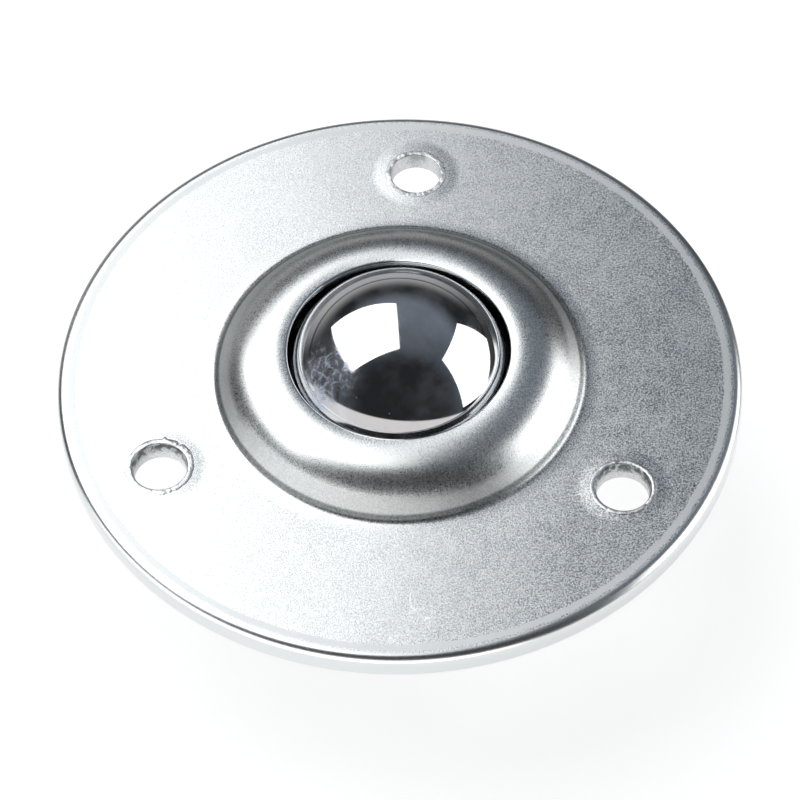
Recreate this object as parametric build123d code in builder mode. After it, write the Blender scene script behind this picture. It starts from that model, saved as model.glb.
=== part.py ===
from build123d import *
from math import asin, cos, floor, radians, sin, sqrt, tan, tau
import os

# Flange ball transfer unit: two steel pressings clinched together round a hardened cup, in which a load
# ball runs on a bed of small support balls. Sizes are in millimetres. The origin is the centre of the
# fixing holes on the underside of the flange, and +Z points up out of the dome.

# Balls
load_ball_d = 25.4
support_ball_d = 4.7625
ball_drop = 0.2          # load ball's centre below the underside of the flange
ball_play = 0.05         # gap from a support ball to the load ball, and to the cup's seat
row_play = 0.12          # gap between neighbouring rows of support balls
ring_play = 0.04         # least gap between neighbours in one row
row_count = 5            # rows of support balls, from the single ball at the bottom upwards

# Sheet thicknesses
cover_t = 1.1
casing_t = 1.3
cup_t = 1.2

# Flange and its turned-down edge
flange_d = 73.4
rim_inside_r = 0.1       # inside radius of the turned-down edge
rim_play = 0.1           # gap from the turned-down edge to the edge of the lower plate

# Dome of the cover
dome_height = 4.0        # crest of the dome above the flange
dome_crest_d = 26.2      # circle of the crest
crown_r = 6.9            # crown, from inside the crest out to the flank
dome_wall_angle = 45.0   # slope of the straight flank
dome_foot_r = 1.2        # hollow radius where the flank meets the flange
crown_overrun = 25.0     # the crown is drawn this many degrees past its crest before it is pierced
lip_gap = 0.38           # gap from the pierced edge to the load ball
lip_edge_r = 0.2         # rounding of the pierced edge's upper corner

# Casing's cup
cup_play = 0.05          # gap from the bearing cup to the casing
mouth_bend_r = 1.7       # bend from the plate into the cup, on the bore side
bowl_corner_r = 11.0     # inside corner between the cup's wall and its flat bottom

# Fixing holes with flared collars
hole_circle_d = 56.0
hole_count = 3
hole_start_angle = 90.0
hole_d = 5.5
hole_entry_r = 0.4       # rounded entry on the underside, where the collar is drawn up
collar_t = 0.55
collar_play = 0.05       # gap from a collar to its hole in the cover
collar_flare_r = 2.0     # radius of the bell mouth
collar_flare_angle = 30.0  # lean of the bell mouth where it meets the lip
collar_lip_d = 7.0       # outside of the thin lip that is rolled over the cover

# Levels
joint_z = casing_t
flange_top = casing_t + cover_t
ball_z = -ball_drop

# Radii from the load ball outwards
load_ball_r = load_ball_d / 2
support_ball_r = support_ball_d / 2
pitch_r = load_ball_r + ball_play + support_ball_r
seat_r = pitch_r + support_ball_r + ball_play
cup_outer_r = seat_r + cup_t
bore_r = cup_outer_r + cup_play
bore_floor_z = ball_z - bore_r

# Flange radii
flange_r = flange_d / 2
rim_bend_r = rim_inside_r + cover_t
rim_start_r = flange_r - rim_bend_r
plate_r = flange_r - cover_t - rim_play
hole_circle_r = hole_circle_d / 2
hole_r = hole_d / 2
collar_r = hole_r + collar_t
collar_lip_r = collar_lip_d / 2
flare_depth = collar_flare_r * sin(radians(collar_flare_angle))

# The crown and the foot bend through the same slope, and the straight flank between them takes up the rest
# of the dome's height. The aperture follows from the ball it lets through: the lower corner of the pierced
# edge stays lip_gap off the load ball.
wall_slope = radians(dome_wall_angle)
crest_r = dome_crest_d / 2
crown_z = flange_top + dome_height - crown_r
flank_rise = dome_height - (crown_r + dome_foot_r) * (1 - cos(wall_slope))
flank_run = flank_rise / tan(wall_slope)
dome_foot_radius = crest_r + (crown_r + dome_foot_r) * sin(wall_slope) + flank_run
lip_under_z = flange_top + dome_height - cover_t
aperture_r = sqrt((load_ball_r + lip_gap) ** 2 - (lip_under_z - ball_z) ** 2)

os.makedirs("parts", exist_ok=True)

# Top cover: the outer line of the pressing runs from the end of its turned-down edge over the flange and
# up the dome, and the sheet lies on its inner side. The sheet is then pierced for the ball and the collars.
with BuildPart() as top_cover:
    with BuildSketch(Plane.XZ):
        with BuildLine():
            edge = Line((flange_r, 0), (flange_r, flange_top - rim_bend_r))
            bend = TangentArc(edge @ 1, (rim_start_r, flange_top), tangent=edge % 1)
            face_line = Line(bend @ 1, (dome_foot_radius, flange_top))
            foot = CenterArc(
                center=(dome_foot_radius, flange_top + dome_foot_r),
                radius=dome_foot_r,
                start_angle=270,
                arc_size=-dome_wall_angle,
            )
            crown = CenterArc(
                center=(crest_r, crown_z),
                radius=crown_r,
                start_angle=90 - dome_wall_angle,
                arc_size=dome_wall_angle + crown_overrun,
            )
            Line(foot @ 1, crown @ 0)
            offset(amount=cover_t, side=Side.LEFT)
        make_face()
        Rectangle(aperture_r, flange_d, align=(Align.MIN, Align.CENTER), mode=Mode.SUBTRACT)
        fillet(vertices().group_by(Axis.X)[0].sort_by(Axis.Y)[-1], lip_edge_r)
    revolve(axis=Axis.Z)
    with PolarLocations(hole_circle_r, hole_count, hole_start_angle):
        Hole(collar_r + collar_play)
top_cover.part.label = "top_cover"
export_step(top_cover.part, "parts/top_cover.step")

# One fixing collar, standing on the origin: a tube drawn up out of the plate, with its end flared over
# the cover in a thin rounded lip.
with BuildPart() as collar:
    with BuildSketch(Plane.XZ):
        with BuildLine():
            flare = CenterArc(
                center=(hole_r + collar_flare_r, flange_top - flare_depth),
                radius=collar_flare_r,
                start_angle=180,
                arc_size=-collar_flare_angle,
            )
            bore_line = Line((hole_r, 0), flare @ 0)
            lip = TangentArc(flare @ 1, (collar_lip_r, flange_top), tangent=flare % 1)
            Polyline(lip @ 1, (collar_r, flange_top), (collar_r, 0), bore_line @ 0)
        make_face()
    revolve(axis=Axis.Z)

# Lower casing: the plate inside the cover's turned-down edge, and the cup drawn down from it. The line
# below is its upper side, from the plate's edge into the cup's flat bottom, with the sheet under it.
with BuildPart() as lower_casing:
    with BuildSketch(Plane.XZ):
        with BuildLine():
            plate_line = Line((plate_r, joint_z), (bore_r + mouth_bend_r, joint_z))
            mouth = TangentArc(plate_line @ 1, (bore_r, joint_z - mouth_bend_r), tangent=plate_line % 1)
            wall_line = Line(mouth @ 1, (bore_r, bore_floor_z + bowl_corner_r))
            corner = TangentArc(
                wall_line @ 1,
                (bore_r - bowl_corner_r, bore_floor_z),
                tangent=wall_line % 1,
            )
            Line(corner @ 1, (0, bore_floor_z))
            offset(amount=casing_t, side=Side.LEFT)
        make_face()
        fillet(vertices().group_by(Axis.X)[-1].sort_by(Axis.Y)[-1], rim_inside_r)
    revolve(axis=Axis.Z)
    with PolarLocations(hole_circle_r, hole_count, hole_start_angle):
        add(collar.part)
        Cylinder(hole_r, flange_d, mode=Mode.SUBTRACT)
    cup_bottom, cup_floor, underside = faces().filter_by(GeomType.PLANE).sort_by(Axis.Z)[:3]
    fillet(underside.edges().group_by(SortBy.RADIUS)[0], hole_entry_r)
lower_casing.part.label = "lower_casing"
export_step(lower_casing.part, "parts/lower_casing.step")

# Bearing cup: hardened liner with a spherical seat, and a short straight wall above the ball's centre
# that ends level with the joint of the two pressings.
with BuildPart() as bearing_cup:
    with BuildSketch(Plane.XZ):
        with BuildLine():
            rim_line = Line((seat_r, joint_z), (seat_r, ball_z))
            CenterArc(center=(0, ball_z), radius=seat_r, start_angle=0, arc_size=-90)
            offset(amount=cup_t, side=Side.LEFT)
        make_face()
    revolve(axis=Axis.Z)
bearing_cup.part.label = "bearing_cup"
export_step(bearing_cup.part, "parts/bearing_cup.step")

# Load ball
with BuildPart(Plane.XY.offset(ball_z)) as load_ball:
    Sphere(load_ball_r)
load_ball.part.label = "load_ball"
export_step(load_ball.part, "parts/load_ball.step")

# Bed of support balls: one at the bottom and then rings of as many as fit, each ring one ball's width
# further up the seat than the last.
row_step = 2 * asin((support_ball_d + row_play) / 2 / pitch_r)
ball_number = 0
for row in range(row_count):
    ring_r = pitch_r * sin(row * row_step)
    ring_z = ball_z - pitch_r * cos(row * row_step)
    if row == 0:
        ring_balls = 1
    else:
        ring_balls = floor(tau / 2 / asin((support_ball_d + ring_play) / 2 / ring_r))
    for place in PolarLocations(ring_r, ring_balls):
        ball_number += 1
        ball_name = f"support_ball_{ball_number:02d}"
        with BuildPart(Plane(place.position + (0, 0, ring_z))) as support_ball:
            Sphere(support_ball_r)
        support_ball.part.label = ball_name
        export_step(support_ball.part, f"parts/{ball_name}.step")
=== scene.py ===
import random
from math import asin, atan2, cos, degrees, floor, pi, radians, sin, sqrt, tan, tau

import bpy
import bmesh
from mathutils import Matrix, Vector


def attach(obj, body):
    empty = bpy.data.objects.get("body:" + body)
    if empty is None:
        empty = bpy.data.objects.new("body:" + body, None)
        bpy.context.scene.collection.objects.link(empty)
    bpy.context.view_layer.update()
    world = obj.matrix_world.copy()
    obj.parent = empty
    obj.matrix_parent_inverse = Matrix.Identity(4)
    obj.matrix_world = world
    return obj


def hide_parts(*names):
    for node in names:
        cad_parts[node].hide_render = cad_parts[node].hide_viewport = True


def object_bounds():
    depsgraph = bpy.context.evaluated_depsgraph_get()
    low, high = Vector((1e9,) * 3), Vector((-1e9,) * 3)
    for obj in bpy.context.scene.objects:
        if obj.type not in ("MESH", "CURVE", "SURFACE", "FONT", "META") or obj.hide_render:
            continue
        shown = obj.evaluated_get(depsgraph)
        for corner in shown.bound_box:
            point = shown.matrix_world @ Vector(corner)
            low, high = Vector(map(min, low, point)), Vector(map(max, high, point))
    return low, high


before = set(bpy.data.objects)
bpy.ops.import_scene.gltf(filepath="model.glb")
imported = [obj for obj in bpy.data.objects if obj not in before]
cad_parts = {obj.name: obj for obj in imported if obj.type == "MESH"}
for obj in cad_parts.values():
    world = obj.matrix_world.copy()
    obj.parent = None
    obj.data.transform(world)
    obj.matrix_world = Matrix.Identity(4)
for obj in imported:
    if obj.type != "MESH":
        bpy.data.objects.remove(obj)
cad_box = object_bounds()


# Lower casing: one steel pressing under the cover, a flat round plate with a deep cup drawn down from its
# middle. It is bright zinc plated after pressing, so the whole sheet has a fine sandy, bluish satin skin.
mm = 0.001
sheet = 1.3
plate_edge_r = 35.5
plate_corner_r = 0.1
bore_r = 18.8125
mouth_bend_r = 1.7
bowl_corner_r = 11.0
bore_floor = -19.0125
hole_circle_r = 28.0
hole_angles = (90, 210, 330)
collar_outer_r = 3.3
flat_margin = 0.1        # a ring this far beyond a bend keeps the flat beside it shaded flat
corner_margin = 0.05
on_axis_r = 1e-6
casing_segments = 256
casing_dark = (0.46, 0.475, 0.48)
casing_light = (0.76, 0.775, 0.78)
casing_grain = 5500
casing_satin = 0.32
casing_grain_depth = 0.010


def arc(centre, radius, start, end, steps):
    """Points in a section (radius, height) along an arc, in millimetres and degrees."""
    turns = [radians(start + (end - start) * step / steps) for step in range(steps + 1)]
    return [(centre[0] + radius * cos(turn), centre[1] + radius * sin(turn)) for turn in turns]


def turned_mesh(name, section, segments):
    """A closed section turned about +Z, with a single vertex where it meets the axis."""
    vertices = []
    rings = []
    for radius, height in section:
        if radius < on_axis_r:
            rings.append([len(vertices)] * segments)
            vertices.append((0, 0, height * mm))
            continue
        rings.append(list(range(len(vertices), len(vertices) + segments)))
        for step in range(segments):
            turn = tau * step / segments
            vertices.append((radius * cos(turn) * mm, radius * sin(turn) * mm, height * mm))
    faces = []
    for lower, upper in zip(rings, rings[1:] + rings[:1]):
        for step in range(segments):
            after = (step + 1) % segments
            corners = list(dict.fromkeys((lower[step], lower[after], upper[after], upper[step])))
            if len(corners) > 2:
                faces.append(corners)
    mesh = bpy.data.meshes.new(name)
    mesh.from_pydata(vertices, [], faces)
    return mesh


def hole_places():
    """Centres of the three fixing holes, in millimetres."""
    turns = [radians(angle) for angle in hole_angles]
    return [(hole_circle_r * cos(turn), hole_circle_r * sin(turn)) for turn in turns]


def pierced(mesh, radius):
    """The pressing with its three round holes cut through the flange."""
    punch_sides = 128
    punch_length = 10.0
    punch_level = 1.0
    punches = bmesh.new()
    for x, y in hole_places():
        bmesh.ops.create_cone(
            punches, cap_ends=True, segments=punch_sides, radius1=radius * mm, radius2=radius * mm,
            depth=punch_length * mm, matrix=Matrix.Translation((x * mm, y * mm, punch_level * mm)),
        )
    punch_mesh = bpy.data.meshes.new("punches")
    punches.to_mesh(punch_mesh)
    punches.free()
    punch = bpy.data.objects.new("punches", punch_mesh)
    blank = bpy.data.objects.new("blank", mesh)
    for thing in (punch, blank):
        bpy.context.scene.collection.objects.link(thing)
    cut = blank.modifiers.new("holes", "BOOLEAN")
    cut.operation = "DIFFERENCE"
    cut.solver = "EXACT"
    cut.object = punch
    bpy.context.view_layer.update()
    result = bpy.data.meshes.new_from_object(blank.evaluated_get(bpy.context.evaluated_depsgraph_get()))
    for thing in (blank, punch):
        bpy.data.objects.remove(thing)
    return result


def finished(name, mesh, material, body, crease=35):
    """The piece as an object at the origin, smooth but for its creases, on the body that carries it."""
    mesh.shade_smooth()
    mesh.set_sharp_from_angle(angle=radians(crease))
    mesh.materials.clear()
    mesh.materials.append(material)
    piece = bpy.data.objects.new(name, mesh)
    bpy.context.scene.collection.objects.link(piece)
    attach(piece, body)
    return piece


def add_node(tree, kind, settings=None, **inputs):
    """A node with its properties set, its inputs given as values or as sockets to link."""
    node = tree.nodes.new(kind)
    for key, value in (settings or {}).items():
        setattr(node, key, value)
    for key, value in inputs.items():
        place = int(key[1:]) if key[0] == "i" and key[1:].isdigit() else key.replace("_", " ")
        socket = node.inputs[place]
        if isinstance(value, bpy.types.NodeSocket):
            tree.links.new(value, socket)
        else:
            socket.default_value = value
    return node


def math_node(tree, operation, *values):
    inputs = {f"i{place}": value for place, value in enumerate(values)}
    return add_node(tree, "ShaderNodeMath", {"operation": operation}, **inputs).outputs[0]


def between(tree, value, low, high, to_low=0.0, to_high=1.0):
    """A smooth step of value from low to high."""
    node = add_node(
        tree, "ShaderNodeMapRange", {"interpolation_type": "SMOOTHSTEP"},
        i0=value, i1=low, i2=high, i3=to_low, i4=to_high,
    )
    return node.outputs[0]


def noise(tree, place, scale, detail=2.0, roughness=0.5, distortion=0.0):
    node = add_node(
        tree, "ShaderNodeTexNoise", Vector=place, Scale=scale, Detail=detail,
        Roughness=roughness, Distortion=distortion,
    )
    return node.outputs[0]


def blend(tree, first, second, share):
    """The first value, with a share of the second in its place."""
    return add_node(tree, "ShaderNodeMix", i0=share, i2=first, i3=second).outputs[0]


def metal(name):
    """A new metal: its material, node tree, shader and the place on the piece that is shaded."""
    material = bpy.data.materials.new(name)
    material.use_nodes = True
    tree = material.node_tree
    shader = tree.nodes["Principled BSDF"]
    shader.inputs["Metallic"].default_value = 1.0
    place = tree.nodes.new("ShaderNodeTexCoord").outputs["Object"]
    return material, tree, shader, place


def zinc_skin_group():
    """Sandy crystal grain and soft clouding of a zinc-plated sheet."""
    usual_sizes = (("Grain", 6000.0), ("Clouds", 90.0), ("Satin", 0.30))
    pit_scale = 0.4          # pits and blotches, as shares of the grain's and the clouds' scale
    pit_share = 0.12
    blotch_scale = 6.0
    blotch_share = 0.45
    cloud_share = 0.12
    cloud_range = (0.35, 0.65)
    grain_range = (0.39, 0.61)
    cloud_satin = 0.02       # whole range of roughness from the clouds, and from the grain
    grain_satin = 0.26
    tree = bpy.data.node_groups.new("zinc skin", "ShaderNodeTree")
    tree.interface.new_socket("Place", in_out="INPUT", socket_type="NodeSocketVector")
    for name, value in usual_sizes:
        tree.interface.new_socket(name, in_out="INPUT", socket_type="NodeSocketFloat").default_value = value
    for name in ("Shade", "Roughness", "Height"):
        tree.interface.new_socket(name, in_out="OUTPUT", socket_type="NodeSocketFloat")
    source = tree.nodes.new("NodeGroupInput").outputs
    drain = tree.nodes.new("NodeGroupOutput").inputs
    pit_size = math_node(tree, "MULTIPLY", source["Grain"], pit_scale)
    blotch_size = math_node(tree, "MULTIPLY", source["Clouds"], blotch_scale)
    grain = noise(tree, source["Place"], source["Grain"], detail=2.0, roughness=0.6)
    pits = noise(tree, source["Place"], pit_size, detail=2.0)
    clouds = noise(tree, source["Place"], source["Clouds"], detail=3.0, roughness=0.55)
    blotches = noise(tree, source["Place"], blotch_size, detail=2.0)
    speckle = blend(tree, grain, pits, pit_share)
    cloud = between(tree, blend(tree, clouds, blotches, blotch_share), *cloud_range)
    shade = blend(tree, between(tree, speckle, *grain_range), cloud, cloud_share)
    from_clouds = math_node(tree, "MULTIPLY_ADD", cloud, cloud_satin, -cloud_satin / 2)
    from_grain = math_node(tree, "MULTIPLY_ADD", speckle, grain_satin, -grain_satin / 2)
    uneven = math_node(tree, "ADD", from_clouds, from_grain)
    tree.links.new(shade, drain["Shade"])
    tree.links.new(math_node(tree, "ADD", source["Satin"], uneven), drain["Roughness"])
    tree.links.new(speckle, drain["Height"])
    return tree


zinc_skin = zinc_skin_group()


def zinc_material(name, dark, light, grain, satin, depth, worked=None):
    """Zinc plate: a metal with its tint, satin and grain from the skin group and from how it was worked."""
    darkest_shade = -1.2     # shade runs from 0, dark, to 1, light, and below 0 for soil and hollows
    material, tree, shader, place = metal(name)
    skin = add_node(tree, "ShaderNodeGroup", {"node_tree": zinc_skin}, Place=place, Grain=grain, Satin=satin)
    shade, roughness, height = skin.outputs
    relief = tree.nodes.new("ShaderNodeBump")
    relief.inputs["Distance"].default_value = depth * mm
    if worked:
        shade, roughness, height = worked(tree, place, shade, roughness, height, relief)
    tint = add_node(
        tree, "ShaderNodeMix", {"data_type": "RGBA", "clamp_factor": False},
        i0=math_node(tree, "MAXIMUM", shade, darkest_shade), i6=(*dark, 1), i7=(*light, 1),
    )
    tree.links.new(height, relief.inputs["Height"])
    tree.links.new(tint.outputs[2], shader.inputs["Base Color"])
    tree.links.new(roughness, shader.inputs["Roughness"])
    tree.links.new(relief.outputs[0], shader.inputs["Normal"])
    return material


mouth_r = bore_r + mouth_bend_r
mouth_level = sheet - mouth_bend_r
bowl_r = bore_r - bowl_corner_r
bowl_level = bore_floor + bowl_corner_r
corner_r = plate_edge_r - plate_corner_r
corner_level = sheet - plate_corner_r
casing_section = (
    [(plate_edge_r, 0), (plate_edge_r, corner_level - corner_margin)]
    + arc((corner_r, corner_level), plate_corner_r, 0, 90, 8)
    + [(corner_r - flat_margin, sheet), (mouth_r + flat_margin, sheet)]
    + arc((mouth_r, mouth_level), mouth_bend_r, 90, 180, 12)
    + [(bore_r, mouth_level - flat_margin), (bore_r, bowl_level + flat_margin)]
    + arc((bowl_r, bowl_level), bowl_corner_r, 0, -90, 32)
    + [(bowl_r - flat_margin, bore_floor), (0, bore_floor), (0, bore_floor - sheet)]
    + [(bowl_r - flat_margin, bore_floor - sheet)]
    + arc((bowl_r, bowl_level), bowl_corner_r + sheet, -90, 0, 32)
    + [(bore_r + sheet, bowl_level + flat_margin), (bore_r + sheet, mouth_level - flat_margin)]
    + arc((mouth_r, mouth_level), mouth_bend_r - sheet, 180, 90, 8)
    + [(mouth_r + flat_margin, 0), (plate_edge_r - flat_margin, 0)]
)
casing_zinc = zinc_material(
    "casing_zinc", casing_dark, casing_light, casing_grain, casing_satin, casing_grain_depth,
)
casing_blank = turned_mesh("casing_pressing", casing_section, casing_segments)
casing = finished(
    "casing_pressing", pierced(casing_blank, collar_outer_r), casing_zinc, "housing",
)
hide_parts("lower_casing")


# Bearing cup: a hardened and ground steel liner pressed into the casing's cup. Its spherical seat carries
# the small balls, and a short straight wall brings it up level with the joint of the two pressings.
seat_r = 17.5625
cup_wall = 1.2
ball_centre = -0.2
joint_level = 1.3
cup_segments = 160
temper_scale = 140
temper_range = (0.35, 0.65)
temper_dark = (0.30, 0.31, 0.33, 1)
temper_light = (0.42, 0.42, 0.43, 1)
grind_scale = (300, 300, 4000)     # finest along the axis, so the marks run round the cup
grind_depth = 0.002
grind_range = (0.2, 0.8)
smooth_grind = 0.22
rough_grind = 0.38


def tint_between(tree, share, first, second):
    """The first colour, with a share of the second in its place."""
    settings = {"data_type": "RGBA"}
    return add_node(tree, "ShaderNodeMix", settings, i0=share, i6=first, i7=second).outputs[2]


cup_section = (
    arc((0, ball_centre), seat_r + cup_wall, -90, 0, 40)
    + [(seat_r + cup_wall, joint_level), (seat_r, joint_level)]
    + arc((0, ball_centre), seat_r, 0, -90, 40)
)
# The arcs end a rounding error away from the axis
cup_section = [(0.0 if abs(radius) < on_axis_r else radius, height) for radius, height in cup_section]

hardened, tree, shader, place = metal("hardened_steel")
temper = between(tree, noise(tree, place, temper_scale, detail=4.0), *temper_range)
tree.links.new(tint_between(tree, temper, temper_dark, temper_light), shader.inputs["Base Color"])
round_about = add_node(tree, "ShaderNodeMapping", Vector=place, Scale=grind_scale).outputs[0]
grind = noise(tree, round_about, 1.0, detail=3.0)
tree.links.new(between(tree, grind, *grind_range, smooth_grind, rough_grind), shader.inputs["Roughness"])
relief = add_node(tree, "ShaderNodeBump", Height=grind, Distance=grind_depth * mm)
tree.links.new(relief.outputs[0], shader.inputs["Normal"])

cup_mesh = turned_mesh("bearing_cup_liner", cup_section, cup_segments)
cup = finished("bearing_cup_liner", cup_mesh, hardened, "housing")
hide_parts("bearing_cup")


# Support balls: small hardened steel balls, ground round and lying loose in rows between the seat and the
# load ball, one at the bottom and then as many as fit in each ring further up.
small_ball_r = 2.38125
pitch_r = 15.13125
row_gap = 0.12
ring_gap = 0.04
rows = 5
small_ball_segments = 32
small_ball_rings = 16
oil_scale = 500
oil_range = (0.3, 0.7)
oiled_dark = (0.50, 0.50, 0.51, 1)
oiled_light = (0.64, 0.64, 0.65, 1)
ground_gloss = 0.08
oiled_gloss = 0.2
ball_crease = 60

ground_steel, tree, shader, place = metal("ground_steel")
oil = noise(tree, place, oil_scale, detail=3.0)
tree.links.new(tint_between(tree, oil, oiled_dark, oiled_light), shader.inputs["Base Color"])
tree.links.new(between(tree, oil, *oil_range, ground_gloss, oiled_gloss), shader.inputs["Roughness"])

row_step = 2 * asin((2 * small_ball_r + row_gap) / 2 / pitch_r)
bed_sizes = {
    "Pitch radius": pitch_r * mm,
    "Ball radius": small_ball_r * mm,
    "Row step": row_step,
    "Centre height": ball_centre * mm,
}
bed_tree = bpy.data.node_groups.new("ball bed", "GeometryNodeTree")
for name in bed_sizes:
    bed_tree.interface.new_socket(name, in_out="INPUT", socket_type="NodeSocketFloat")
bed_tree.interface.new_socket("Geometry", in_out="OUTPUT", socket_type="NodeSocketGeometry")
source = bed_tree.nodes.new("NodeGroupInput").outputs
rings = bed_tree.nodes.new("GeometryNodeJoinGeometry")
for row in range(rows):
    ring_r = pitch_r * sin(row * row_step)
    count = floor(pi / asin((2 * small_ball_r + ring_gap) / 2 / ring_r)) if row else 1
    climb = math_node(bed_tree, "MULTIPLY", source["Row step"], float(row))
    reach = math_node(bed_tree, "MULTIPLY", source["Pitch radius"], math_node(bed_tree, "SINE", climb))
    fall = math_node(bed_tree, "MULTIPLY", source["Pitch radius"], math_node(bed_tree, "COSINE", climb))
    height = math_node(bed_tree, "SUBTRACT", source["Centre height"], fall)
    lift = add_node(bed_tree, "ShaderNodeCombineXYZ", Z=height).outputs[0]
    if row:
        ring = add_node(bed_tree, "GeometryNodeMeshCircle", Vertices=count, Radius=reach).outputs[0]
    else:
        ring = add_node(bed_tree, "GeometryNodeMeshLine", Count=1).outputs[0]
    placed = add_node(bed_tree, "GeometryNodeTransform", Geometry=ring, Translation=lift).outputs[0]
    bed_tree.links.new(placed, rings.inputs[0])
small_ball = add_node(
    bed_tree, "GeometryNodeMeshUVSphere",
    Segments=small_ball_segments, Rings=small_ball_rings, Radius=source["Ball radius"],
)
balls = add_node(
    bed_tree, "GeometryNodeInstanceOnPoints", Points=rings.outputs[0], Instance=small_ball.outputs[0],
)
solid = add_node(bed_tree, "GeometryNodeRealizeInstances", Geometry=balls.outputs[0]).outputs[0]
dressed = add_node(bed_tree, "GeometryNodeSetMaterial", Geometry=solid, Material=ground_steel).outputs[0]
bed_tree.links.new(dressed, bed_tree.nodes.new("NodeGroupOutput").inputs[0])

bed_blank = bpy.data.objects.new("ball_bed_blank", bpy.data.meshes.new("ball_bed_blank"))
bpy.context.scene.collection.objects.link(bed_blank)
bed_rule = bed_blank.modifiers.new("ball bed", "NODES")
bed_rule.node_group = bed_tree
for item in bed_tree.interface.items_tree:
    if item.in_out == "INPUT":
        bed_rule[item.identifier] = bed_sizes[item.name]
bpy.context.view_layer.update()
bed_mesh = bpy.data.meshes.new_from_object(bed_blank.evaluated_get(bpy.context.evaluated_depsgraph_get()))
bpy.data.objects.remove(bed_blank)
bed = finished("support_ball_bed", bed_mesh, ground_steel, "ball_bed", ball_crease)
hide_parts(*[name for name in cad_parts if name.startswith("support_ball_")])


# Load ball: a through-hardened steel ball, lapped to a mirror. Handling has left a crazed, bluish smear on
# one side of it, a scatter of dust specks and a few faint smudges.
load_ball_r = 12.7
ball_subdivisions = 6
clean_steel = (0.66, 0.66, 0.67, 1)
dried_film = (0.54, 0.64, 0.86, 1)
smear_place = (-7.14, -5.73, 8.56)
smear_reach = 4.4
smear_core = 1.6
smear_fray = 4.0
patch_scale = 420
drift_scale = 1100
drift_reach = 1.1
crack_scale = 850
crack_width = 0.16
curl_scale = 1000
curl_width = 0.035
curl_strength = 0.7
vein_scale = 1500
vein_range = (0.35, 0.6)
vein_strength = 0.5
murk_scale = 600
murk_range = (0.35, 0.65)
thin_murk = 0.10
thick_murk = 0.34
smudge_scale = 280
smudge_range = (0.40, 0.70)
smudge_strength = 0.09
dust_scale = 800
dust_draw = (0.62, 0.66)     # a cell whose random draw is above these holds a speck
dust_edge = 0.06
dust_core = 0.03
dust_strength = 0.7
film_dulls = 0.85        # how far a full film hides the metal, and how much it roughens it
film_roughens = 0.35
lapped_gloss = 0.02
uneven_gloss = 0.03


def tinted(tree, colour, strength):
    settings = {"operation": "SCALE"}
    return add_node(tree, "ShaderNodeVectorMath", settings, i0=colour, Scale=strength).outputs[0]


def summed(tree, first, second):
    return add_node(tree, "ShaderNodeVectorMath", {"operation": "ADD"}, i0=first, i1=second).outputs[0]


def distance(tree, first, second):
    settings = {"operation": "DISTANCE"}
    return add_node(tree, "ShaderNodeVectorMath", settings, i0=first, i1=second).outputs["Value"]


def from_middle(tree, value):
    """How far a noise is from its middle value, which is least along thin winding lines."""
    return math_node(tree, "ABSOLUTE", math_node(tree, "SUBTRACT", value, 0.5))


lapped, tree, shader, place = metal("lapped_steel")
patch = noise(tree, place, patch_scale, detail=3.0)
off = distance(tree, place, tuple(value * mm for value in smear_place))
off = math_node(tree, "MULTIPLY_ADD", math_node(tree, "SUBTRACT", patch, 0.5), smear_fray * mm, off)
smear = between(tree, off, smear_reach * mm, smear_core * mm)
drift = add_node(tree, "ShaderNodeTexNoise", Vector=place, Scale=drift_scale, Detail=3.0).outputs["Color"]
bent = summed(tree, place, tinted(tree, drift, drift_reach * mm))
cracks = add_node(
    tree, "ShaderNodeTexVoronoi", {"feature": "DISTANCE_TO_EDGE"}, Vector=bent, Scale=crack_scale,
)
curls = from_middle(tree, noise(tree, place, curl_scale, detail=4.0, roughness=0.6))
veins = math_node(
    tree, "MAXIMUM", between(tree, cracks.outputs[0], crack_width, 0.0),
    between(tree, curls, curl_width, 0.0, 0.0, curl_strength),
)
broken = between(tree, noise(tree, place, vein_scale, detail=3.0), *vein_range)
veins = math_node(tree, "MULTIPLY", veins, broken)
murk = noise(tree, place, murk_scale, detail=4.0, roughness=0.6)
murk = between(tree, murk, *murk_range, thin_murk, thick_murk)
film = math_node(tree, "MULTIPLY", smear, math_node(tree, "MULTIPLY_ADD", veins, vein_strength, murk))
smudge = noise(tree, place, smudge_scale, detail=5.0, roughness=0.6)
smudge = between(tree, smudge, *smudge_range, 0.0, smudge_strength)
film = math_node(tree, "MAXIMUM", film, smudge)
cells = add_node(tree, "ShaderNodeTexVoronoi", Vector=place, Scale=dust_scale).outputs
random_draw = add_node(tree, "ShaderNodeSeparateXYZ", Vector=cells["Color"]).outputs[0]
dust = between(tree, cells["Distance"], dust_edge, dust_core)
dust = math_node(tree, "MULTIPLY", dust, between(tree, random_draw, *dust_draw))
marks = math_node(tree, "MAXIMUM", film, math_node(tree, "MULTIPLY", dust, dust_strength))
gloss = math_node(tree, "MULTIPLY_ADD", patch, uneven_gloss, lapped_gloss)
tree.links.new(tint_between(tree, marks, clean_steel, dried_film), shader.inputs["Base Color"])
tree.links.new(math_node(tree, "MULTIPLY_ADD", marks, -film_dulls, 1.0), shader.inputs["Metallic"])
tree.links.new(math_node(tree, "MULTIPLY_ADD", marks, film_roughens, gloss), shader.inputs["Roughness"])

ball_mesh = bpy.data.meshes.new("mirror_ball")
ball_shape = bmesh.new()
bmesh.ops.create_icosphere(
    ball_shape, subdivisions=ball_subdivisions, radius=load_ball_r * mm,
    matrix=Matrix.Translation((0, 0, ball_centre * mm)),
)
ball_shape.to_mesh(ball_mesh)
ball_shape.free()
ball = finished("mirror_ball", ball_mesh, lapped, "load_ball", ball_crease)
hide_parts("load_ball")


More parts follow.
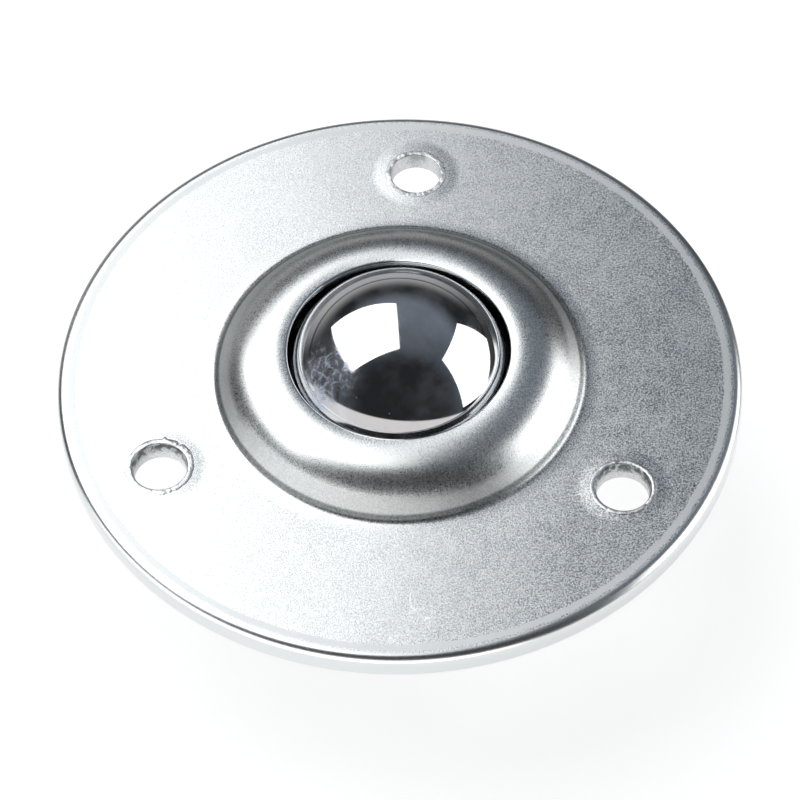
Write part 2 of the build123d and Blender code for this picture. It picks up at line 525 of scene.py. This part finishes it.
# Top cover: a second steel pressing laid over the casing, with a low dome that keeps the load ball in and an
# outer edge turned down round the plate. It is zinc plated like the casing and carries light handling marks.
flange_r = 36.7
flange_top = 2.4
cover_sheet = 1.1
rim_bend_r = 1.0
rim_inside_r = 0.1
burnish_inner_r = 34.65
burnish_outer_r = 35.4
burnish_rise = 0.04
run_out_r = 21.6
run_out_slope = 4.0
foot_r = 1.2
flank_slope = 45.0
crown_r = 6.9
crest_r = 13.1
dome_height = 4.0
lip_gap = 0.38
lip_edge_r = 0.2
cover_hole_r = 3.35
cover_segments = 384
cover_dark = (0.46, 0.475, 0.475)
cover_light = (0.81, 0.825, 0.82)
cover_grain = 7000
cover_satin = 0.285
cover_grain_depth = 0.010

crown_centre = (crest_r, flange_top + dome_height - crown_r)
flank_start_r = crest_r + crown_r * sin(radians(flank_slope))
flank_fall = dome_height - (crown_r + foot_r) * (1 - cos(radians(flank_slope)))
flank_end_r = flank_start_r + flank_fall / tan(radians(flank_slope))
foot_centre = (flank_end_r + foot_r * sin(radians(flank_slope)), flange_top + foot_r)
lip_under = flange_top + dome_height - cover_sheet - ball_centre
aperture_r = sqrt((load_ball_r + lip_gap) ** 2 - lip_under ** 2)
lip_rise = sqrt((crown_r - lip_edge_r) ** 2 - (aperture_r + lip_edge_r - crest_r) ** 2)
lip_centre = (aperture_r + lip_edge_r, crown_centre[1] + lip_rise)
lip_start = degrees(atan2(lip_rise, aperture_r + lip_edge_r - crest_r))
under_rise = sqrt((crown_r - cover_sheet) ** 2 - (aperture_r - crest_r) ** 2)
under_end = degrees(atan2(under_rise, aperture_r - crest_r))
rim_centre = (flange_r - rim_bend_r, flange_top - rim_bend_r + burnish_rise)
rim_inside = (flange_r - cover_sheet - rim_inside_r, flange_top - cover_sheet - rim_inside_r)
run_out_end_r = foot_centre[0] - foot_r * sin(radians(run_out_slope))
run_out_bend = (run_out_r - run_out_end_r) / sin(radians(run_out_slope))
run_out_centre = (run_out_r, flange_top + run_out_bend)
foot_lift = (run_out_bend - foot_r) * (1 - cos(radians(run_out_slope)))
lifted_foot = (foot_centre[0], foot_centre[1] + foot_lift)

cover_section = (
    [(flange_r, 0)]
    + arc(rim_centre, rim_bend_r, 0, 90, 20)
    + [(burnish_outer_r, flange_top + burnish_rise), (burnish_inner_r, flange_top)]
    + [(burnish_inner_r - flat_margin, flange_top)]
    + arc(run_out_centre, run_out_bend, 270, 270 - run_out_slope, 6)
    + arc(lifted_foot, foot_r, 270 - run_out_slope, 270 - flank_slope, 12)[1:]
    + arc(crown_centre, crown_r, 90 - flank_slope, lip_start, 36)
    + arc(lip_centre, lip_edge_r, lip_start, 180, 8)[1:]
    + arc(crown_centre, crown_r - cover_sheet, under_end, 90 - flank_slope, 24)
    + arc(foot_centre, foot_r + cover_sheet, 270 - flank_slope, 270, 12)
    + [(rim_inside[0] - flat_margin, flange_top - cover_sheet)]
    + arc(rim_inside, rim_inside_r, 90, 0, 4)
    + [(flange_r - cover_sheet, 0)]
)

# Where the marks of working, the painted shade and the painted glints lie, as radii from nothing to full,
# or from start, full, fade to end
burnish_inside = (burnish_inner_r + 0.12, burnish_inner_r + 0.22)
burnish_outside = (burnish_outer_r + 0.35, burnish_outer_r + 0.15)
rolled_from = (burnish_outer_r + 0.1, burnish_outer_r + 0.5)
sheared_within = (aperture_r + 0.32, aperture_r + 0.22)
dome_within = (flank_end_r + 0.5, flank_end_r + 0.3)
# Painted shade in the hollow at the dome's foot
hollow_shadow_band = (flank_end_r - 0.42, flank_end_r - 0.18, flank_end_r - 0.05, flank_end_r + 0.35)
stretched_band = (flank_start_r - 0.1, flank_start_r + 0.6, flank_end_r, flank_end_r + 0.2)
scuffed_from = (22, 24)
pulled_within = (5.0, 3.0)   # from the middle of the nearest hole
# Painted glints: the grain's contrast grows up to this far right of the middle
glint_side = 28             # to the right of the middle
# Darker towards the front right, along this heading and over this range
front_right_heading = (0.75, -0.66)
front_right_range = (18, 32)        # along that heading

# How far each mark changes the shade, from 0, dark, to 1, light, or the roughness
middle_shade = 0.55
# Painted glints: how many times stronger the grain stands out on the right
painted_glint_gain = 2.0
scuff_shade = 0.55
front_right_shade = -0.2
bright_shade = 0.6
dome_brightens = 0.5
drawn_shade = 0.2
# Painted shade in the hollow at the dome's foot
painted_hollow_shade = -1.2
burnished_shade = 0.5
burnish_hides = 0.85
rolled_satin = 0.26
burnished_satin = 0.37
sheared_satin = 0.10
drawn_satin = 0.06
stretched_satin = 0.13
flat_grain = 0.5

# Sizes of the marks themselves
nick_scale = 700
nick_reach = 0.3
wear_scale = 900
wear_reach = 0.5
draw_lines = 55.0
draw_breaks = 120.0
scuff_scale = 170
scuff_width = 0.012
scuff_places = 60
scuff_range = (0.54, 0.66)
mound_height = 0.07
wave_scale = 75
wave_height = 0.06


def edge(tree, value, none_at, full_at):
    """A smooth step of a length from 0 to 1, between two sizes in millimetres."""
    return between(tree, value, none_at * mm, full_at * mm)


def band(tree, value, start, full, fade, end):
    """1 for lengths from full to fade, and 0 outside start and end, all in millimetres."""
    return math_node(tree, "MULTIPLY", edge(tree, value, start, full), edge(tree, value, end, fade))


def frayed(tree, place, radius, scale, reach):
    """A radius made uneven by noise, so that what ends at it has a ragged edge."""
    return math_node(tree, "MULTIPLY_ADD", noise(tree, place, scale, detail=3.0), reach * mm, radius)


def pressed(tree, place, shade, roughness, height, relief):
    """What drawing, shearing, rolling and handling left on the cover's skin, and its painted shade and
    glints.
    """
    across, along = add_node(tree, "ShaderNodeSeparateXYZ", Vector=place).outputs[:2]
    flat = add_node(tree, "ShaderNodeCombineXYZ", X=across, Y=along).outputs[0]
    radius = add_node(tree, "ShaderNodeVectorMath", {"operation": "LENGTH"}, i0=flat).outputs["Value"]
    outward = add_node(tree, "ShaderNodeVectorMath", {"operation": "NORMALIZE"}, i0=flat).outputs[0]

    # Edges: a ragged burnished band, the bend rolled over outside it and the sheared rim of the aperture
    nicks = frayed(tree, place, radius, nick_scale, nick_reach)
    worn = frayed(tree, place, radius, wear_scale, wear_reach)
    burnished = math_node(
        tree, "MULTIPLY", edge(tree, nicks, *burnish_inside), edge(tree, worn, *burnish_outside),
    )
    rolled = edge(tree, radius, *rolled_from)
    sheared = edge(tree, radius, *sheared_within)
    bright_edges = math_node(tree, "MAXIMUM", rolled, sheared)

    # Dome: drawn bright with lines up its flank, rougher where it stretched most, and with painted shade
    # in the hollow at its foot
    on_dome = edge(tree, radius, *dome_within)
    hollow_shadow = band(tree, radius, *hollow_shadow_band)
    stretched = band(tree, radius, *stretched_band)
    ray = math_node(tree, "MULTIPLY", radius, draw_breaks)
    ray = add_node(tree, "ShaderNodeCombineXYZ", Z=ray).outputs[0]
    streaks = summed(tree, tinted(tree, outward, draw_lines), ray)
    drawn = noise(tree, streaks, 1.0, detail=3.0, roughness=0.6)
    drawn = math_node(tree, "MULTIPLY", math_node(tree, "SUBTRACT", drawn, 0.5), on_dome)
    brightened = math_node(tree, "MULTIPLY", on_dome, dome_brightens)
    brightened = math_node(tree, "MAXIMUM", brightened, bright_edges)

    # Flange: the grain in stronger contrast towards the right, as painted glints on the side away from the
    # lamps; darker towards the front right; and a few faint scuffs
    glint_contrast = between(tree, across, 0.0, glint_side * mm, 1.0, painted_glint_gain)
    winding = noise(tree, place, scuff_scale, detail=2.0, roughness=0.5, distortion=0.6)
    scuffs = between(tree, from_middle(tree, winding), scuff_width, 0.0)
    scuff_areas = between(tree, noise(tree, place, scuff_places, detail=2.0), *scuff_range)
    scuffs = math_node(tree, "MULTIPLY", scuffs, scuff_areas)
    scuffs = math_node(tree, "MULTIPLY", scuffs, edge(tree, radius, *scuffed_from))
    # Darker towards the front right
    toward_front_right = math_node(tree, "MULTIPLY", across, front_right_heading[0])
    toward_front_right = math_node(tree, "MULTIPLY_ADD", along, front_right_heading[1], toward_front_right)
    darker_front_right = edge(tree, toward_front_right, *front_right_range)

    off_middle = math_node(tree, "SUBTRACT", shade, middle_shade)
    shade = math_node(tree, "MULTIPLY_ADD", off_middle, glint_contrast, middle_shade)
    shade = math_node(tree, "MULTIPLY_ADD", scuffs, scuff_shade, shade)
    shade = math_node(tree, "MULTIPLY_ADD", darker_front_right, front_right_shade, shade)
    shade = blend(tree, shade, bright_shade, brightened)
    shade = math_node(tree, "MULTIPLY_ADD", drawn, drawn_shade, shade)
    shade = math_node(tree, "MULTIPLY_ADD", hollow_shadow, painted_hollow_shade, shade)
    shade = blend(tree, shade, burnished_shade, math_node(tree, "MULTIPLY", burnished, burnish_hides))
    roughness = blend(tree, roughness, rolled_satin, rolled)
    roughness = blend(tree, roughness, burnished_satin, burnished)
    roughness = blend(tree, roughness, sheared_satin, sheared)
    roughness = math_node(tree, "MULTIPLY_ADD", drawn, drawn_satin, roughness)
    roughness = math_node(tree, "MULTIPLY_ADD", stretched, stretched_satin, roughness)
    height = blend(tree, height, flat_grain, math_node(tree, "MAXIMUM", burnished, bright_edges))

    # Form of the sheet: pulled up a little round each hole, and never quite flat
    nearest = 1.0
    for x, y in hole_places():
        nearest = math_node(tree, "MINIMUM", nearest, distance(tree, flat, (x * mm, y * mm, 0)))
    pulled_up = edge(tree, nearest, *pulled_within)
    mounds = add_node(tree, "ShaderNodeBump", Height=pulled_up, Distance=mound_height * mm)
    waves = add_node(
        tree, "ShaderNodeBump", Height=noise(tree, place, wave_scale, detail=1.0),
        Distance=wave_height * mm, Normal=mounds.outputs[0],
    )
    tree.links.new(waves.outputs[0], relief.inputs["Normal"])
    return shade, roughness, height


cover_zinc = zinc_material(
    "cover_zinc", cover_dark, cover_light, cover_grain, cover_satin, cover_grain_depth, pressed,
)
cover_blank = turned_mesh("cover_pressing", cover_section, cover_segments)
cover = finished(
    "cover_pressing", pierced(cover_blank, cover_hole_r), cover_zinc, "housing",
)
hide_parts("top_cover")


# Flared collars: the casing's fixing holes are drawn up through the cover and their ends rolled over it,
# which clinches the two pressings together. The thin rolled edge is burnished, nicked and split by the punch.
bore_of_hole_r = 2.75
entry_r = 0.4
flare_r = 2.0
flare_lean = 30.0
lip_reach_r = 3.5
wall_draft = 0.002
collar_segments = 240
collar_crease = 50
collar_dark = (0.50, 0.51, 0.51)
collar_light = (0.80, 0.81, 0.81)
collar_grain = 7000
collar_satin = 0.32
collar_grain_depth = 0.004

# Waves of the lip, by how many go round it, and what they and the splits do to its reach and its rise
reach_waves = (2, 3, 5, 8, 13, 21)
rise_waves = (1, 2, 4, 7, 11, 17)
wave_sizes = (0.4, 1.0)
wave_total = 2.2
reach_change = 0.5
rise_change = 0.6
split_sinks = 0.8
least_reach = 0.06
least_rise = 0.1

# One row for each hole: seed of its waves, shares of the mouth's opening, the lip's reach and its rise, then
# splits as angle, width and depth, and spikes as angle, width and length
tears = (
    (11, 0.25, 0.5, 0.2, ((140, 9, 0.9), (165, 6, 0.8), (20, 5, 0.6), (250, 7, 0.7)), ((150, 5, 0.7),)),
    (23, 0.8, 1.7, 0.4, ((185, 10, 0.95), (60, 5, 0.7), (300, 6, 0.6)), ((88, 4, 1.6), (195, 8, 0.8))),
    (37, 0.9, 1.0, 0.4, ((200, 7, 0.8), (320, 8, 0.9), (100, 5, 0.5)), ((335, 10, 0.6),)),
)

# Painted shade inside the mouth and painted shadow in the crevice under the lip, by their height up the
# collar: start, full, fade and end
mouth_shade_band = (0.9, 2.2, 2.38, 2.41)
crevice_shadow_band = (2.37, 2.39, 2.405, 2.425)
mouth_shade_back = 20
most_mouth_shade = 2.0
least_mouth_shade = 0.1
shade_patch_scale = 1600
shade_patch_range = (0.38, 0.6)
faint_shade_patch = 0.35
deep_shade_patch = 1.3
dent_scale = 1000
dent_depth = 0.13

flare_centre = (bore_of_hole_r + flare_r, flange_top - flare_r * sin(radians(flare_lean)))
flare_end_r = flare_centre[0] - flare_r * cos(radians(flare_lean))
roll_r = (lip_reach_r - flare_end_r) / 2 / cos(radians(flare_lean))
roll_centre = ((flare_end_r + lip_reach_r) / 2, flange_top - roll_r * sin(radians(flare_lean)))


def drawn_waves(draw, counts):
    """Waves round a lip with phases and sizes drawn at random, the finer ones smaller."""
    return [(count, draw.uniform(0, tau), draw.uniform(*wave_sizes) / count ** 0.5) for count in counts]


def wave_at(waves, turn):
    return sum(size * sin(count * turn + phase) for count, phase, size in waves) / wave_total


def nearness(turn, angle, width):
    """1 at an angle in degrees, falling to 0 at the given width to either side of it."""
    apart = abs((turn - radians(angle) + pi) % tau - pi)
    return max(0.0, 1 - apart / radians(width))


def rolled_collar(seed, opening, spread, rise_share, splits, spikes):
    """One collar about the origin: its rolled lip waves in reach and height and is split at some angles."""
    draw = random.Random(seed)
    reaches = drawn_waves(draw, reach_waves)
    rises = drawn_waves(draw, rise_waves)
    section = (
        arc((bore_of_hole_r + entry_r, entry_r), entry_r, 270, 180, 5)
        + arc(flare_centre, flare_r, 180, 180 - flare_lean, 8)
        + arc(roll_centre, roll_r, 180 - flare_lean, flare_lean, 10)[1:]
        + [(collar_outer_r, flange_top), (collar_outer_r - wall_draft, 0)]
    )
    vertices = []
    for step in range(collar_segments):
        turn = tau * step / collar_segments
        reach = spread * (1 + reach_change * wave_at(reaches, turn))
        rise = rise_share * (1 + rise_change * wave_at(rises, turn))
        for angle, width, depth in splits:
            bite = depth * nearness(turn, angle, width)
            reach *= 1 - bite
            rise *= 1 - split_sinks * bite
        for angle, width, length in spikes:
            reach += length * nearness(turn, angle, width)
        for radius, level in section:
            if radius > collar_outer_r:
                radius = collar_outer_r + (radius - collar_outer_r) * max(reach, least_reach)
            elif level > entry_r:
                radius = bore_of_hole_r + (radius - bore_of_hole_r) * opening
            if level > flange_top:
                level = flange_top + (level - flange_top) * max(rise, least_rise)
            vertices.append((radius * cos(turn), radius * sin(turn), level))
    return vertices, len(section)


collar_vertices = []
collar_faces = []
for (x, y), tear in zip(hole_places(), tears):
    points, around = rolled_collar(*tear)
    first = len(collar_vertices)
    collar_vertices += [((x + px) * mm, (y + py) * mm, pz * mm) for px, py, pz in points]
    for step in range(collar_segments):
        after = (step + 1) % collar_segments
        for point in range(around):
            onward = (point + 1) % around
            collar_faces.append((
                first + step * around + point, first + step * around + onward,
                first + after * around + onward, first + after * around + point,
            ))
collar_mesh = bpy.data.meshes.new("rolled_collars")
collar_mesh.from_pydata(collar_vertices, [], collar_faces)


def shaded_holes(tree, place, shade, roughness, height, relief):
    """Patchy painted shade inside the mouth, least in the hole at the back, and painted shadow under the lip,
    on a dented edge.
    """
    along, up = add_node(tree, "ShaderNodeSeparateXYZ", Vector=place).outputs[1:]
    # Painted shade inside the mouth and painted shadow under the lip
    mouth_shade = band(tree, up, *mouth_shade_band)
    amount = between(tree, along, 0.0, mouth_shade_back * mm, most_mouth_shade, least_mouth_shade)
    mouth_shade = math_node(tree, "MULTIPLY", mouth_shade, amount)
    crevice_shadow = band(tree, up, *crevice_shadow_band)
    patchy_shade = noise(tree, place, shade_patch_scale, detail=3.0)
    patchy_shade = between(tree, patchy_shade, *shade_patch_range, faint_shade_patch, deep_shade_patch)
    painted_shade = math_node(tree, "MULTIPLY", math_node(tree, "MAXIMUM", mouth_shade, crevice_shadow), patchy_shade)
    dents = noise(tree, place, dent_scale, detail=3.0)
    dents = add_node(tree, "ShaderNodeBump", Height=dents, Distance=dent_depth * mm)
    tree.links.new(dents.outputs[0], relief.inputs["Normal"])
    return math_node(tree, "SUBTRACT", shade, painted_shade), roughness, height


collar_zinc = zinc_material(
    "collar_zinc", collar_dark, collar_light, collar_grain, collar_satin, collar_grain_depth, shaded_holes,
)
collars = finished("rolled_collars", collar_mesh, collar_zinc, "housing", collar_crease)


# Table and light: a white table under two large soft boxes, one high at the back left and one standing at
# the right, in a dim room. The lit front of the table shows in the ball as part of the room, and a third,
# long lamp stands for it on the pressings alone.
camera_turn = radians(5.04)
camera_rise = radians(53.03)
camera_roll = radians(1.579)
camera_far = 0.333
look_side = -0.026 * mm
look_height = -2.8355 * mm
lens = 138.15
film_width = 36.0
light_far = 0.7
soft_light = 2.25
table_light = 1.75
pure_white = (1, 1, 1, 1)
facing = Matrix.Rotation(camera_turn, 4, "Z")


def soft_box(name, strength, centre, across, up, width, height):
    """A rectangular lamp, placed from the object in the camera's own heading: x right, y back, z up."""
    lamp = bpy.data.lights.new(name, "AREA")
    lamp.shape = "RECTANGLE"
    lamp.size = width * light_far
    lamp.size_y = height * light_far
    lamp.energy = strength * pi * lamp.size * lamp.size_y
    box = bpy.data.objects.new(name, lamp)
    across = Vector(across).normalized()
    away = across.cross(Vector(up)).normalized()
    up = away.cross(across)
    axes = Matrix((across, up, away)).transposed().to_4x4()
    axes.translation = Vector(centre) * light_far
    box.matrix_world = facing @ axes
    box.visible_camera = False
    bpy.context.scene.collection.objects.link(box)
    return box


def from_camera(tree, vector):
    """A heading or a place, turned into the camera's own heading."""
    settings = {"rotation_type": "Z_AXIS"}
    return add_node(tree, "ShaderNodeVectorRotate", settings, Vector=vector, Angle=-camera_turn).outputs[0]


def at_back(tree, side, back, elsewhere, there):
    """A value that changes smoothly for headings near the back of the room, a little left of the middle."""
    lean_left = -0.2
    from_here = 0.6
    to_full = 1.0
    toward = math_node(tree, "MULTIPLY_ADD", side, lean_left, back)
    return between(tree, toward, from_here, to_full, elsewhere, there)


soft_box(
    "back_left_soft_box", soft_light, centre=(-0.446, 0.348, 0.825),
    across=(0.855, 0.227, 0.466), up=(-0.036, 0.923, -0.383), width=1.034, height=1.10,
)
soft_box(
    "right_soft_box", soft_light, centre=(0.901, 0.21, 0.379),
    across=(0.179, 0.933, -0.312), up=(0.116, 0.295, 0.948), width=1.066, height=0.954,
)
table_glow = soft_box(
    "table_glow", table_light, centre=(-1.447, -0.429, 0.35),
    across=(0.906, -0.423, 0), up=(0, 0, 1), width=5.2, height=0.70,
)
pressings = bpy.data.collections.new("pressings")
for piece in (cover, collars):
    pressings.objects.link(piece)
table_glow.light_linking.receiver_collection = pressings

# The room: haze high at the back, a faint glow ahead of it, the white sweep low at the back and the lit
# front of the table below. Each has its colour and the headings from which it starts to where it is full.
# The camera itself sees plain white
room_dark = (0.024, 0.026, 0.029)
haze_colour = (0.15, 0.176, 0.213)
haze_start = (0.01, 0.07)
haze_rise = (0.35, 0.65)
haze_deepens = (0.05, 0.65)
near_haze = 0.5
glow_colour = (0.06, 0.075, 0.095)
glow_start = (-0.34, 0.04)
glow_end = (0.07, 0.01)
glow_power = 2.0
ahead_lean = 0.6
sweep_colour = (0.46, 0.45, 0.44)
sweep_rise = (0.30, -0.05)
front_colour = (0.92, 0.89, 0.87)
front_edge = (-0.065, -0.095)
front_side_lean = 0.111
front_back_lean = 0.415
world = bpy.data.worlds.new("room")
bpy.context.scene.world = world
world.use_nodes = True
tree = world.node_tree
tree.nodes.clear()
heading = from_camera(tree, tree.nodes.new("ShaderNodeTexCoord").outputs["Generated"])
side, back, rise = add_node(tree, "ShaderNodeSeparateXYZ", Vector=heading).outputs
ahead = math_node(tree, "MULTIPLY_ADD", math_node(tree, "SUBTRACT", 1.0, rise), ahead_lean, back)
haze = math_node(tree, "MULTIPLY", between(tree, ahead, *haze_start), between(tree, rise, *haze_rise))
haze = math_node(tree, "MULTIPLY", haze, between(tree, ahead, *haze_deepens, near_haze, 1.0))
glow = math_node(tree, "POWER", between(tree, ahead, *glow_start), glow_power)
glow = math_node(tree, "MULTIPLY", glow, between(tree, ahead, *glow_end))
sweep = between(tree, rise, *sweep_rise)
sweep = math_node(tree, "MULTIPLY", sweep, at_back(tree, side, back, 0.0, 1.0))
tilted = math_node(tree, "MULTIPLY_ADD", back, front_back_lean, rise)
tilted = math_node(tree, "MULTIPLY_ADD", side, front_side_lean, tilted)
table_front = between(tree, tilted, *front_edge)
room = summed(tree, room_dark, tinted(tree, haze_colour, haze))
room = summed(tree, room, tinted(tree, front_colour, table_front))
room = summed(tree, room, tinted(tree, glow_colour, glow))
room = summed(tree, room, tinted(tree, sweep_colour, sweep))
seen = tree.nodes.new("ShaderNodeLightPath").outputs["Is Camera Ray"]
surround = add_node(tree, "ShaderNodeBackground", Color=tint_between(tree, seen, room, pure_white))
tree.links.new(surround.outputs[0], tree.nodes.new("ShaderNodeOutputWorld").inputs["Surface"])

# The table: dimmer far behind the object in mirror images, and close to pure white for the camera. It has
# its whiteness and some light of its own near the object, far behind it, and as the camera sees it
table_r = 6.0
table_segments = 96
table_drop = 0.0001
behind_range = (0.015, 0.07)
near_white = 0.9
far_dim = 0.07
far_bright = 0.6
seen_white = 0.45
near_fill = 0.55
far_fill = 0.0
seen_fill = 0.75
table_white = bpy.data.materials.new("table_white")
table_white.use_nodes = True
tree = table_white.node_tree
tree.nodes.clear()
path = tree.nodes.new("ShaderNodeLightPath").outputs
spot = from_camera(tree, tree.nodes.new("ShaderNodeNewGeometry").outputs["Position"])
behind = add_node(tree, "ShaderNodeSeparateXYZ", Vector=spot).outputs[1]
behind = between(tree, behind, *behind_range)
bearing = add_node(tree, "ShaderNodeVectorMath", {"operation": "NORMALIZE"}, i0=spot).outputs[0]
side, back = add_node(tree, "ShaderNodeSeparateXYZ", Vector=bearing).outputs[:2]
far_white = at_back(tree, side, back, far_dim, far_bright)
white = blend(tree, near_white, far_white, math_node(tree, "MULTIPLY", behind, path["Is Glossy Ray"]))
white = blend(tree, white, seen_white, path["Is Camera Ray"])
fill = math_node(tree, "MULTIPLY", blend(tree, near_fill, far_fill, behind), path["Is Glossy Ray"])
straight = math_node(tree, "MAXIMUM", path["Is Camera Ray"], path["Is Transmission Ray"])
fill = blend(tree, fill, seen_fill, straight)
grey = add_node(tree, "ShaderNodeCombineColor", i0=white, i1=white, i2=white).outputs[0]
matt = add_node(tree, "ShaderNodeBsdfDiffuse", Color=grey).outputs[0]
lit = add_node(tree, "ShaderNodeEmission", Color=pure_white, Strength=fill).outputs[0]
both = add_node(tree, "ShaderNodeAddShader", i0=matt, i1=lit).outputs[0]
tree.links.new(both, tree.nodes.new("ShaderNodeOutputMaterial").inputs["Surface"])

table_mesh = bpy.data.meshes.new("table_top")
table_shape = bmesh.new()
bmesh.ops.create_circle(
    table_shape, cap_ends=True, segments=table_segments, radius=table_r,
    matrix=Matrix.Translation((0, 0, cad_box[0][2] - table_drop)),
)
table_shape.to_mesh(table_mesh)
table_shape.free()
table_mesh.materials.append(table_white)
table_top = bpy.data.objects.new("table_top", table_mesh)
bpy.context.scene.collection.objects.link(table_top)

scene = bpy.context.scene
scene.view_settings.view_transform = "Standard"
camera_data = bpy.data.cameras.new("photo_camera")
camera_data.lens = lens
camera_data.sensor_width = film_width
camera = bpy.data.objects.new("photo_camera", camera_data)
right = Vector((cos(camera_turn), sin(camera_turn), 0))
level_away = cos(camera_rise)
away = Vector((sin(camera_turn) * level_away, -cos(camera_turn) * level_away, sin(camera_rise)))
over = away.cross(right)
rolled_right = right * cos(camera_roll) - over * sin(camera_roll)
rolled_over = right * sin(camera_roll) + over * cos(camera_roll)
axes = Matrix((rolled_right, rolled_over, away)).transposed().to_4x4()
axes.translation = right * look_side + Vector((0, 0, look_height)) + away * camera_far
camera.matrix_world = axes
scene.collection.objects.link(camera)
scene.camera = camera
